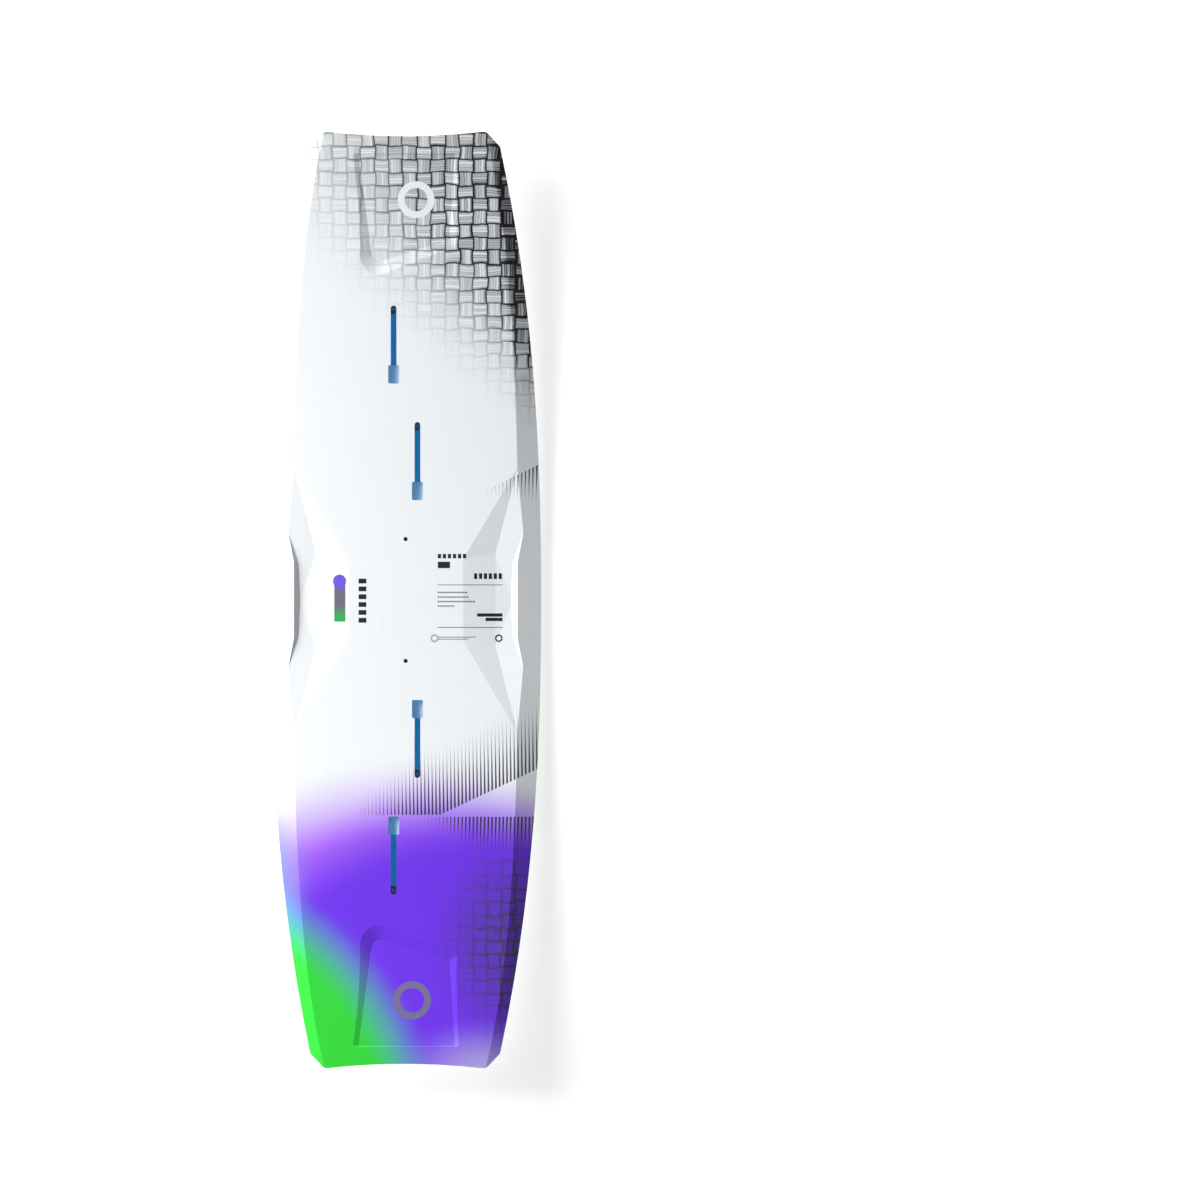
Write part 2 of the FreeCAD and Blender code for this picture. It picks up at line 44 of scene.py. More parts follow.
print("parts:", len(nodes), " box in metres:", tuple(round(v, 3) for v in cad_high - cad_low))


# %% [markdown]
# Paint charts give colours as sRGB hex, but light adds up in linear numbers. One function does the
# conversion, so every colour below can be written as it would be on a chart.

# %% Colours
def paint(code):
    """Linear colour of an sRGB hex code, with a full alpha."""
    channels = [int(code[i:i + 2], 16) / 255 for i in (0, 2, 4)]
    linear = [c / 12.92 if c <= 0.04045 else ((c + 0.055) / 1.055) ** 2.4 for c in channels]
    return (*linear, 1.0)


print("mid grey in linear light:", round(paint("808080")[0], 3))


# %% [markdown]
# A shader is a chain of small nodes. This helper adds one node, sets it up and connects it. An
# input can be a plain value or the output of another node. Every material starts with the same
# four nodes: a surface, an output, and two that measure the place on the board in millimetres, so
# that patterns have real sizes.

# %% Adding a node
FINE_RELIEF = 0.0001    # metres; depth of the finest marks on a surface


def add(tree, kind, settings=None, inputs=None):
    """New node with its settings; inputs maps a socket's name or number to a value or an output."""
    new = tree.nodes.new(kind)
    for name, value in (settings or {}).items():
        setattr(new, name, value)
    for key, value in (inputs or {}).items():
        if isinstance(value, bpy.types.NodeSocket):
            tree.links.new(value, new.inputs[key])
        else:
            new.inputs[key].default_value = value
    return new


def begin(name):
    """Empty material: its tree, its surface shader and the place on the board in millimetres."""
    made = bpy.data.materials.new(name)
    made.use_nodes = True
    tree = made.node_tree
    tree.nodes.clear()
    shader = add(tree, "ShaderNodeBsdfPrincipled")
    add(tree, "ShaderNodeOutputMaterial", None, {"Surface": shader.outputs["BSDF"]})
    place = add(tree, "ShaderNodeTexCoord")
    mm = add(tree, "ShaderNodeVectorMath", {"operation": "SCALE"},
             {0: place.outputs["Object"], "Scale": 1000.0})
    return made, tree, shader, mm.outputs[0]


print("helpers ready")


# %% [markdown]
# Printed sheets carry soft clouds of colour. A cloud is a spherical gradient, moved, turned and
# stretched by a Mapping node, whose cone is rounded by a smooth Map Range. A straight fade is an
# easing gradient, which runs from 0 to 1 along its own X axis.

# %% Clouds and fades
EVEN = 1e5              # mm; stretches a pattern until it is even along an axis


def cloud(tree, mm, centre, radii, turn, soft, most):
    """Amount of a soft oval patch, turned by degrees.

    It is 0 at the rim and rises to most over the share soft of the radius.
    """
    spot = add(tree, "ShaderNodeMapping", {"vector_type": "TEXTURE"},
               {"Vector": mm, "Location": (*centre, 0), "Rotation": (0, 0, math.radians(turn)),
                "Scale": (*radii, EVEN)})
    cone = add(tree, "ShaderNodeTexGradient", {"gradient_type": "SPHERICAL"},
               {"Vector": spot.outputs[0]})
    return add(tree, "ShaderNodeMapRange", {"interpolation_type": "SMOOTHSTEP"},
               {"Value": cone.outputs["Fac"], "From Max": soft, "To Max": most}).outputs[0]


def fade(tree, mm, start, turn, length):
    """Smooth step from 0 at start to 1 at length further on, in the direction turn (degrees)."""
    ramp = add(tree, "ShaderNodeMapping", {"vector_type": "TEXTURE"},
               {"Vector": mm, "Location": (*start, 0), "Rotation": (0, 0, math.radians(turn)),
                "Scale": (length, EVEN, EVEN)})
    return add(tree, "ShaderNodeTexGradient", {"gradient_type": "EASING"},
               {"Vector": ramp.outputs[0]}).outputs["Fac"]


def over(tree, under, amount, colour):
    """Lay a colour over what is under it."""
    return add(tree, "ShaderNodeMix", {"data_type": "RGBA"},
               {0: amount, 6: under, 7: colour}).outputs[2]


def times(tree, first, second):
    """Product of two amounts."""
    return add(tree, "ShaderNodeMath", {"operation": "MULTIPLY"}, {0: first, 1: second}).outputs[0]


print("cloud and fade ready")


# %% [markdown]
# The dark ends of the deck are printed with a basket weave, like the fibre cloth inside the board.
# A checkerboard picks each ribbon's direction. A ribbon is a few strands, each its own grey, dark
# where its long sides dip under the neighbours, and its ends nearly touch the next ribbon. A slow
# noise bends the whole cloth a little, because real cloth never lies quite straight.

# %% Basket weave
RIBBON_ACROSS = 20.7    # mm from ribbon to ribbon across the board
RIBBON_ALONG = 19.2     # and along it
STRANDS = 5.0           # strands drawn in a ribbon; real tows hold thousands, too fine to see
BEND = 7.0              # mm by which the slow noise shifts the cloth
STRAND_INK = (0.16, 0.6)    # ink of the palest and the darkest strand
STRAND_LINE = 0.14          # ink that comes and goes from strand to strand
SIDE_GAP = (0.31, 0.45, 0.8)    # from the ribbon's middle: gap begins, gap is full; its ink
END_GAP = (0.44, 0.5, 0.4)      # the same towards the ribbon's ends


def basket_weave(tree, mm):
    """Ink of the weave: light on the strands, full in the gaps."""
    wander = add(tree, "ShaderNodeTexNoise", None, {"Vector": mm, "Scale": 0.03, "Detail": 2.0})
    bend = add(tree, "ShaderNodeVectorMath", {"operation": "MULTIPLY_ADD"},
               {0: wander.outputs["Color"], 1: (BEND, BEND, 0.0), 2: mm}).outputs[0]
    flat = add(tree, "ShaderNodeVectorMath", {"operation": "MULTIPLY"},
               {0: bend, 1: (1 / RIBBON_ACROSS, 1 / RIBBON_ALONG, 0)}).outputs[0]
    cell = add(tree, "ShaderNodeVectorMath", {"operation": "FLOOR"}, {0: flat}).outputs[0]
    local = add(tree, "ShaderNodeVectorMath", {"operation": "FRACTION"}, {0: flat}).outputs[0]
    xy = add(tree, "ShaderNodeSeparateXYZ", None, {0: local})
    upright = add(tree, "ShaderNodeTexChecker", None,
                  {"Vector": flat, "Scale": 1.0}).outputs["Fac"]
    across = add(tree, "ShaderNodeMix", {"data_type": "FLOAT"},
                 {0: upright, 2: xy.outputs[0], 3: xy.outputs[1]}).outputs[0]
    along = add(tree, "ShaderNodeMix", {"data_type": "FLOAT"},
                {0: upright, 2: xy.outputs[1], 3: xy.outputs[0]}).outputs[0]

    count = times(tree, across, STRANDS)
    which = add(tree, "ShaderNodeMath", {"operation": "FLOOR"}, {0: count}).outputs[0]
    which = add(tree, "ShaderNodeCombineXYZ", None, {2: which}).outputs[0]
    which = add(tree, "ShaderNodeVectorMath", {"operation": "ADD"}, {0: cell, 1: which}).outputs[0]
    own = add(tree, "ShaderNodeTexWhiteNoise", {"noise_dimensions": "3D"}, {"Vector": which})
    strand = add(tree, "ShaderNodeMapRange", None,
                 {"Value": own.outputs["Value"], "To Min": STRAND_INK[0],
                  "To Max": STRAND_INK[1]}).outputs[0]
    wave = times(tree, count, 2 * math.pi)
    wave = add(tree, "ShaderNodeMath", {"operation": "COSINE"}, {0: wave}).outputs[0]
    lines = add(tree, "ShaderNodeMath", {"operation": "MULTIPLY_ADD"},
                {0: wave, 1: STRAND_LINE, 2: strand}).outputs[0]

    gaps = []
    for place, (begins, full, ink) in ((across, SIDE_GAP), (along, END_GAP)):
        off = add(tree, "ShaderNodeMath", {"operation": "SUBTRACT"}, {0: place, 1: 0.5}).outputs[0]
        off = add(tree, "ShaderNodeMath", {"operation": "ABSOLUTE"}, {0: off}).outputs[0]
        gaps.append(add(tree, "ShaderNodeMapRange", {"interpolation_type": "SMOOTHSTEP"},
                        {"Value": off, "From Min": begins, "From Max": full,
                         "To Max": ink}).outputs[0])
    gaps = add(tree, "ShaderNodeMath", {"operation": "MAXIMUM"},
               {0: gaps[0], 1: gaps[1]}).outputs[0]
    return add(tree, "ShaderNodeMath", {"operation": "ADD"}, {0: lines, 1: gaps}).outputs[0]


print("ribbons of", RIBBON_ACROSS, "by", RIBBON_ALONG, "mm")


# %% [markdown]
# Both sheets also carry fields of upright hatching. Each field stands on one sharp edge, which may
# climb past a knee, and its lines get thinner until they vanish. A line is drawn where the place
# within one pitch is less than the line's width there.

# %% Hatched fields
PITCH = 5.5             # mm from line to line
LINE_SHARE = 0.52       # a line's share of the pitch where it is widest
LINE_INK = (0.3, 0.92)  # ink of a line where it begins and where it is full
FULL_INK = 0.6          # how far in from a field's faded side the ink is full, as a share


def hatching(tree, mm, level, height, left, run, knee=0.0, climb=0.0):
    """Ink of a field whose sharp edge lies at y = level, and climbs past x = knee.

    The lines fade over height (negative for downwards), and grow in over run mm from x = left
    (negative for towards -x), shorter and thinner there.
    """
    xyz = add(tree, "ShaderNodeSeparateXYZ", None, {0: mm})
    x, y = xyz.outputs[0], xyz.outputs[1]
    past = add(tree, "ShaderNodeMath", {"operation": "SUBTRACT"}, {0: x, 1: knee}).outputs[0]
    past = add(tree, "ShaderNodeMath", {"operation": "MAXIMUM"}, {0: past, 1: 0.0}).outputs[0]
    edge = add(tree, "ShaderNodeMath", {"operation": "MULTIPLY_ADD"},
               {0: past, 1: climb, 2: level}).outputs[0]
    away = add(tree, "ShaderNodeMath", {"operation": "SUBTRACT"}, {0: y, 1: edge}).outputs[0]
    far = add(tree, "ShaderNodeMath", {"operation": "DIVIDE"}, {0: away, 1: height}).outputs[0]
    inside = add(tree, "ShaderNodeMath", {"operation": "GREATER_THAN"}, {0: far, 1: 0.0}).outputs[0]
    grown = add(tree, "ShaderNodeMapRange", None,
                {"Value": x, "From Min": left, "From Max": left + run}).outputs[0]
    left_over = add(tree, "ShaderNodeMath", {"operation": "SUBTRACT"},
                    {0: grown, 1: far}).outputs[0]
    width = add(tree, "ShaderNodeMapRange", None,
                {"Value": left_over, "To Max": LINE_SHARE}).outputs[0]
    depth = add(tree, "ShaderNodeMapRange", None,
                {"Value": left_over, "From Max": FULL_INK, "To Min": LINE_INK[0],
                 "To Max": LINE_INK[1]}).outputs[0]
    step = add(tree, "ShaderNodeMath", {"operation": "DIVIDE"}, {0: x, 1: PITCH}).outputs[0]
    step = add(tree, "ShaderNodeMath", {"operation": "FRACT"}, {0: step}).outputs[0]
    line = add(tree, "ShaderNodeMath", {"operation": "LESS_THAN"}, {0: step, 1: width}).outputs[0]
    return times(tree, times(tree, line, inside), depth)


print("hatching every", PITCH, "mm")


# %% [markdown]
# The small graphics are plain bars, rows of blocks and rings, with no lettering. A bar is where the
# folded place is inside the bar's half sizes; a row is a bar cut by stripes; a ring is where the
# distance from its centre is between two radii.

# %% Bars, rows and rings
def bar(tree, mm, left, right, low, high, blocks=1, share=1.0, upright=False):
    """1 inside a rectangle, or inside each of its blocks, which fill share of their pitch."""
    size = (right - left, high - low)
    spot = add(tree, "ShaderNodeMapping", {"vector_type": "TEXTURE"},
               {"Vector": mm, "Location": (left, low, 0), "Scale": (*size, EVEN)})
    xyz = add(tree, "ShaderNodeSeparateXYZ", None, {0: spot.outputs[0]})
    centred = add(tree, "ShaderNodeVectorMath", {"operation": "SUBTRACT"},
                  {0: spot.outputs[0], 1: (0.5, 0.5, 0)}).outputs[0]
    folded = add(tree, "ShaderNodeVectorMath", {"operation": "ABSOLUTE"}, {0: centred}).outputs[0]
    reach = add(tree, "ShaderNodeSeparateXYZ", None, {0: folded})
    reach = add(tree, "ShaderNodeMath", {"operation": "MAXIMUM"},
                {0: reach.outputs[0], 1: reach.outputs[1]}).outputs[0]
    inside = add(tree, "ShaderNodeMath", {"operation": "LESS_THAN"}, {0: reach, 1: 0.5}).outputs[0]
    if blocks == 1:
        return inside
    place = xyz.outputs[1 if upright else 0]
    step = add(tree, "ShaderNodeMath", {"operation": "FRACT"},
               {0: times(tree, place, float(blocks))}).outputs[0]
    block = add(tree, "ShaderNodeMath", {"operation": "LESS_THAN"}, {0: step, 1: share}).outputs[0]
    return times(tree, inside, block)


def ring(tree, mm, centre, radius, width):
    """1 on a ring, else 0."""
    spot = add(tree, "ShaderNodeMapping", {"vector_type": "TEXTURE"},
               {"Vector": mm, "Location": (*centre, 0), "Scale": (1, 1, EVEN)})
    out = add(tree, "ShaderNodeVectorMath", {"operation": "LENGTH"}, {0: spot.outputs[0]})
    off = add(tree, "ShaderNodeMath", {"operation": "SUBTRACT"},
              {0: out.outputs["Value"], 1: radius - width / 2}).outputs[0]
    off = add(tree, "ShaderNodeMath", {"operation": "ABSOLUTE"}, {0: off}).outputs[0]
    return add(tree, "ShaderNodeMath", {"operation": "LESS_THAN"},
               {0: off, 1: width / 2}).outputs[0]


def either(tree, marks):
    """1 where any of the marks is."""
    total = marks[0]
    for mark in marks[1:]:
        total = add(tree, "ShaderNodeMath", {"operation": "MAXIMUM"},
                    {0: total, 1: mark}).outputs[0]
    return total


print("bars, rows and rings ready")


# %% [markdown]
# A printed sheet is a clear polyamide film, printed on its back and pressed onto the laminate. Its
# face is etched to a soft satin, which gives grip and keeps the colours deep from any side. Under a
# low light the cloth below it telegraphs through as very faint streaks along the board; they get a
# faint relief, and are also painted into the colour as faint shade. The same surface finish serves
# the deck and the base.

# %% Satin film
FILM_ROUGHNESS = (0.56, 0.7)    # least and most, from pore to pore
FILM_STREAKS = (0.45, 0.012, 0.02)      # streaks for each mm: across, along, upright
FILM_RELIEF = 0.00006           # metres
FILM_SHINE = 0.2                # share of a polished film's shine; 0.5 would be all of it


def satin_film(tree, shader, mm, colour):
    """Finish of the printed sheets: print with faint painted streaks of shade, under an etched
    polyamide surface.
    """
    streaks = add(tree, "ShaderNodeMapping", None, {"Vector": mm, "Scale": FILM_STREAKS})
    grain = add(tree, "ShaderNodeTexNoise", None,
                {"Vector": streaks.outputs[0], "Scale": 1.0, "Detail": 3.0})
    # painted shade: the streaks lighten and darken the print by about one percent
    tone = add(tree, "ShaderNodeMapRange", None,
               {"Value": grain.outputs["Fac"], "From Min": 0.3, "From Max": 0.7,
                "To Min": 0.987, "To Max": 1.01}).outputs[0]
    toned = add(tree, "ShaderNodeVectorMath", {"operation": "SCALE"}, {0: colour, "Scale": tone})
    tree.links.new(toned.outputs[0], shader.inputs["Base Color"])
    pores = add(tree, "ShaderNodeTexNoise", None, {"Vector": mm, "Scale": 0.9, "Detail": 2.0})
    gloss = add(tree, "ShaderNodeMapRange", None,
                {"Value": pores.outputs["Fac"], "To Min": FILM_ROUGHNESS[0],
                 "To Max": FILM_ROUGHNESS[1]}).outputs[0]
    tree.links.new(gloss, shader.inputs["Roughness"])
    relief = add(tree, "ShaderNodeMath", {"operation": "MULTIPLY_ADD"},
                 {0: pores.outputs["Fac"], 1: 0.25, 2: grain.outputs["Fac"]}).outputs[0]
    bump = add(tree, "ShaderNodeBump", None,
               {"Height": relief, "Strength": 0.25, "Distance": FILM_RELIEF})
    tree.links.new(bump.outputs[0], shader.inputs["Normal"])
    shader.inputs["IOR"].default_value = 1.53
    shader.inputs["Specular IOR Level"].default_value = FILM_SHINE


SHEET_WHITE = paint("e7ebee")
INK = paint("26262b")
print("satin film ready")


# %% [markdown]
# The deck's print: white, with violet and green clouds over the tail, and a grey weave over the toe
# side of the nose and again, tinted violet, on the toe side of the tail. The ink is heaviest on the
# bevel along the toe side, partly in the print and partly as painted shade of that bevel, which
# faces away from the key light. Folding the place about the middle lets one line follow both
# bevels.

# %% Deck print: clouds and weave
DECK_CLOUDS = [         # centre and radii in mm, turn in degrees, soft, most, colour
    ((10, -770), (545, 545), 0, 0.25, 1.0, "ad6aef"),
    ((110, -770), (508, 508), 0, 0.23, 1.0, "6c38e0"),
    ((120, -700), (150, 90), 0, 1.0, 0.75, "b8b0d0"),
    ((-205, -415), (75, 170), 0, 1.0, 0.95, "668fe0"),
    ((-380, -812), (448, 448), 0, 0.22, 1.0, "38cc3e"),
]
NOSE_RING = ((16, 590), 27, 10)     # centre, radius and width in mm
BEVEL_LINE = ((157, 300), 5.1, 12)  # a point on the deck's edge line, its turn, a blend in mm
# partly print, partly painted shade: more ink on the toe-side bevel, which faces away from the key
# light
BEVEL_INK_AND_SHADE = 0.5                     # how much more ink the weave has on the bevel
NOSE_START = ((0, 370), 53.13, 208)     # where the nose's weave begins, its turn, the blend
NOSE_INK = (-300.0, 200.0, 1.32)        # x where its ink is nil, x where it is full, the full ink
TAIL_PATCH = ((165, -505), (140, 190), 0, 0.8, 1.1)     # the tail's weave, as a cloud
TAIL_INK = (0.55, 0.25)                 # ink of its strands, and an even ink beneath


def clouded(tree, mm, clouds):
    """White sheet with clouds laid over it in turn."""
    col = SHEET_WHITE
    for *shape, code in clouds:
        col = over(tree, col, cloud(tree, mm, *shape), paint(code))
    return col


def deck_weave(tree, mm, col):
    """The two woven ends laid over the clouds; a plain ring of the nose stays bare."""
    folded = add(tree, "ShaderNodeVectorMath", {"operation": "ABSOLUTE"}, {0: mm}).outputs[0]
    xy = add(tree, "ShaderNodeSeparateXYZ", None, {0: mm})
    beside = add(tree, "ShaderNodeSeparateXYZ", None, {0: folded})
    mirrored = add(tree, "ShaderNodeCombineXYZ", None, {0: xy.outputs[0], 1: beside.outputs[1]})
    bevel = fade(tree, mirrored.outputs[0], *BEVEL_LINE)
    # painted shade in part: the weave's ink rises on the toe-side bevel
    heavier_with_shade = add(tree, "ShaderNodeMath", {"operation": "MULTIPLY_ADD"},
                  {0: bevel, 1: BEVEL_INK_AND_SHADE, 2: 1.0}).outputs[0]

    weave = times(tree, basket_weave(tree, mm), heavier_with_shade)
    depth = add(tree, "ShaderNodeMapRange", None,
                {"Value": xy.outputs[0], "From Min": NOSE_INK[0], "From Max": NOSE_INK[1],
                 "To Max": NOSE_INK[2]}).outputs[0]
    nose = times(tree, fade(tree, mm, *NOSE_START), depth)
    bare = add(tree, "ShaderNodeMath", {"operation": "SUBTRACT"},
               {0: 1.0, 1: ring(tree, mm, *NOSE_RING)}).outputs[0]
    nose = times(tree, nose, bare)
    col = over(tree, col, times(tree, nose, weave), INK)
    softened = add(tree, "ShaderNodeMath", {"operation": "MULTIPLY_ADD"},
                   {0: weave, 1: TAIL_INK[0], 2: TAIL_INK[1]}).outputs[0]
    tail = times(tree, cloud(tree, mm, *TAIL_PATCH), softened)
    return over(tree, col, tail, paint("463c60"))


print("clouds on the deck:", len(DECK_CLOUDS))


# %% [markdown]
# Where a maker would print a name, a size and a serial plate, this deck has plain blocks, rules and
# rings of the same size and weight. They are lists of rectangles in millimetres.

# %% Deck print: small graphics
PLATE = [                                       # left, right, low, high, blocks, share
    (47.5, 92.0, 61.5, 68.0, 6, 0.66),          # title
    (47.5, 65.5, 47.0, 56.5, 1, 1.0),           # grade box
    (101.0, 144.5, 31.0, 39.5, 6, 0.66),        # size
    (47.5, 143.0, 21.8, 22.8, 1, 1.0),          # rule
    (47.5, 92.0, 10.2, 12.2, 12, 0.72),         # four lines of small print
    (47.5, 93.5, 3.3, 5.3, 13, 0.72),
    (47.5, 103.5, -3.3, -1.3, 15, 0.72),
    (47.5, 72.5, -9.9, -7.9, 7, 0.72),
    (105.5, 143.0, -24.6, -19.7, 1, 1.0),       # two bars
    (118.0, 143.0, -31.2, -26.2, 1, 1.0),
    (47.5, 143.0, -40.9, -39.9, 1, 1.0),        # rule
    (48.5, 104.0, -55.6, -54.2, 18, 0.7),       # two lines of finer print
    (48.5, 92.0, -58.6, -57.2, 14, 0.7),
]
HEEL_BLOCKS = (-69.5, -58.0, -33.5, 36.0, 6, 0.62)      # a column of blocks, written as above
INK_RING = ((137.5, -56.5), 5.6, 2.2)                   # rings: centre, radius, width in mm
PALE_RING = ((42.7, -56.5), 6.0, 2.6)
TAIL_RING = ((10, -590), 28, 10)
BADGE = (-105.5, -89.0, -32.0, 27.5)                    # a coloured bar, and its round head
BADGE_HEAD = ((-97.6, 27.8), 9.8, 9.8)
GREEN_ENDS = ((0, -28), 90, 22)                         # fades along the badge
VIOLET_STARTS = ((0, 10), 90, 16)
DECK_FIELDS = [         # hatching in mm: level, height, left, run, knee, climb
    (-317, 105, -95, 120, 51, 0.47),
    (-320, -55, 10, 90),
    (152, -62, 104, 95, 100, 0.5),
]


def deck_marks(tree, mm, col):
    """Plain blocks in place of names, the hatched fields, two rings and a coloured badge."""
    marks = [bar(tree, mm, *row) for row in PLATE]
    marks.append(bar(tree, mm, *HEEL_BLOCKS, upright=True))
    marks.append(ring(tree, mm, *INK_RING))
    fields = [hatching(tree, mm, *row) for row in DECK_FIELDS]
    col = over(tree, col, either(tree, marks + fields), paint("2c2a33"))
    col = over(tree, col, ring(tree, mm, *TAIL_RING), paint("746c94"))
    col = over(tree, col, ring(tree, mm, *PALE_RING), paint("a9abb0"))

    badge = over(tree, paint("35a050"), fade(tree, mm, *GREEN_ENDS), paint("6a6472"))
    badge = over(tree, badge, fade(tree, mm, *VIOLET_STARTS), paint("6a55c8"))
    col = over(tree, col, bar(tree, mm, *BADGE), badge)
    return over(tree, col, ring(tree, mm, *BADGE_HEAD), paint("6a55c8"))


def deck_print():
    """The deck sheet: clouds, weave and small graphics under the film."""
    made, tree, shader, mm = begin("printed_polyamide_deck")
    col = deck_marks(tree, mm, deck_weave(tree, mm, clouded(tree, mm, DECK_CLOUDS)))
    satin_film(tree, shader, mm, col)
    return made


deck_finish = deck_print()
print(deck_finish.name, "nodes:", len(deck_finish.node_tree.nodes))


# %% [markdown]
# The base carries the same inks over its middle, between white ends: a violet band that crosses it
# aslant, two green clouds beside the band, four hatched fields, a row of seven plain blocks along
# the keel and a ring at each end. Its places are written as seen from below with the nose up, so
# one node first mirrors the place across the board.

# %% Base print
BASE_CLOUDS = [         # as on the deck
    ((-30, 30), (420, 280), 0, 0.8, 0.9, "8f88ea"),
    ((150, -150), (210, 150), 0, 0.9, 0.8, "bb86f0"),
    ((10, -14), (420, 172), -6, 0.45, 1.0, "6233e0"),
    ((200, -95), (130, 130), 0, 1.0, 0.6, "a85cf6"),
    ((66, 214), (195, 138), 0, 0.75, 1.0, "30df4c"),
    ((-142, -213), (215, 172), 0, 0.7, 1.0, "30df4c"),
]
BASE_FIELDS = [         # as on the deck
    (48, 97, -50, -120, -158, 0.63),
    (46, -50, 50, -160),
    (44, 60, 20, 100),
    (-142, 72, 50, 110, 162, 0.8),
]
BLOCKS = 7
BLOCK_PITCH = 84.5      # mm from block to block along the keel
BLOCK_SHARE = 0.6       # of the pitch that a block fills
BLOCK_HALF_WIDTH = 26.5
BLOCK_INK = 0.9
RING_PLACES = (490, -496)   # mm along the keel, the nose's ring first
RING_RADIUS = 54        # mm
RING_WIDTH = 19


def base_print():
    """The base sheet, with the same film over its own clouds, fields, blocks and rings."""
    made, tree, shader, mm = begin("printed_polyamide_base")
    seen = add(tree, "ShaderNodeVectorMath", {"operation": "MULTIPLY"},
               {0: mm, 1: (-1, 1, 1)}).outputs[0]
    col = clouded(tree, seen, BASE_CLOUDS)
    fields = either(tree, [hatching(tree, seen, *row) for row in BASE_FIELDS])
    col = over(tree, col, fields, paint("2b2148"))
    half = BLOCKS / 2 * BLOCK_PITCH
    start = BLOCK_PITCH * (1 - BLOCK_SHARE) / 2
    blocks = bar(tree, seen, -BLOCK_HALF_WIDTH, BLOCK_HALF_WIDTH, -half + start, half + start,
                 BLOCKS, BLOCK_SHARE, upright=True)
    col = over(tree, col, times(tree, blocks, BLOCK_INK), paint("3c3c40"))
    rings = either(tree, [ring(tree, seen, (0, y), RING_RADIUS, RING_WIDTH)
                          for y in RING_PLACES])
    col = over(tree, col, rings, paint("222224"))
    satin_film(tree, shader, mm, col)
    return made


base_finish = base_print()
print(base_finish.name, "nodes:", len(base_finish.node_tree.nodes))


# %% [markdown]
# The laminate is glass cloth set in epoxy. Only its edge shows, in the slots and round the rim, as
# a pale green-grey line with the cloth's tows in it. Two wave textures crossed at right angles
# stand for the tows, 2 mm apart, where real ones are a little finer.

# %% Glass laminate
TOWS = 0.157            # scale of a wave that repeats every 2 mm


def glass_laminate():
    """Glass cloth in epoxy: paler on the crossings of its tows."""
    made, tree, shader, mm = begin("glass_epoxy_laminate")
    tow = {"wave_type": "BANDS", "bands_direction": "X", "wave_profile": "SIN"}
    warp = add(tree, "ShaderNodeTexWave", tow, {"Vector": mm, "Scale": TOWS, "Distortion": 0.4})
    weft = add(tree, "ShaderNodeTexWave", {**tow, "bands_direction": "Y"},
               {"Vector": mm, "Scale": TOWS, "Distortion": 0.4})
    cloth = times(tree, warp.outputs["Fac"], weft.outputs["Fac"])
    col = over(tree, paint("c3cfc6"), cloth, paint("e2eae3"))
    tree.links.new(col, shader.inputs["Base Color"])
    bump = add(tree, "ShaderNodeBump", None,
               {"Height": cloth, "Strength": 0.3, "Distance": FINE_RELIEF})
    tree.links.new(bump.outputs[0], shader.inputs["Normal"])
    shader.inputs["Roughness"].default_value = 0.3
    shader.inputs["IOR"].default_value = 1.55
    return made


laminate = glass_laminate()
print("made", laminate.name)


# %% [markdown]
# The rails are ABS, moulded in white with a breath of lilac and then milled to shape with the
# board. Milling leaves fine marks that run along the edge, and knocks dull the sharp corner
# unevenly.

# %% Moulded ABS
def moulded_abs():
    """White ABS with milling marks along the board and patches dulled by knocks."""
    made, tree, shader, mm = begin("moulded_abs")
    milled = add(tree, "ShaderNodeMapping", None, {"Vector": mm, "Scale": (1.1, 0.05, 2.2)})
    marks = add(tree, "ShaderNodeTexNoise", None,
                {"Vector": milled.outputs[0], "Scale": 1.0, "Detail": 3.0})
    tone = add(tree, "ShaderNodeMapRange", None,
               {"Value": marks.outputs["Fac"], "From Min": 0.25, "From Max": 0.75}).outputs[0]
    tree.links.new(over(tree, paint("dedce8"), tone, paint("f1eff6")), shader.inputs["Base Color"])
    knocks = add(tree, "ShaderNodeTexNoise", None, {"Vector": mm, "Scale": 0.06, "Detail": 4.0})
    gloss = add(tree, "ShaderNodeMapRange", None,
                {"Value": knocks.outputs["Fac"], "From Min": 0.3, "From Max": 0.7,
                 "To Min": 0.32, "To Max": 0.52}).outputs[0]
    tree.links.new(gloss, shader.inputs["Roughness"])
    bump = add(tree, "ShaderNodeBump", None,
               {"Height": marks.outputs["Fac"], "Strength": 0.3, "Distance": FINE_RELIEF})
    tree.links.new(bump.outputs[0], shader.inputs["Normal"])
    shader.inputs["IOR"].default_value = 1.54
    return made


rail = moulded_abs()
print("made", rail.name)


# %% [markdown]
# The core is wood: poplar in the middle, which holds the inserts, and lighter paulownia beside
# it. Both are sawn along the grain. Slow noise, drawn out along the board, makes the growth rings,
# and a finer one the pores. The two woods share one recipe and differ in colour and ring width.

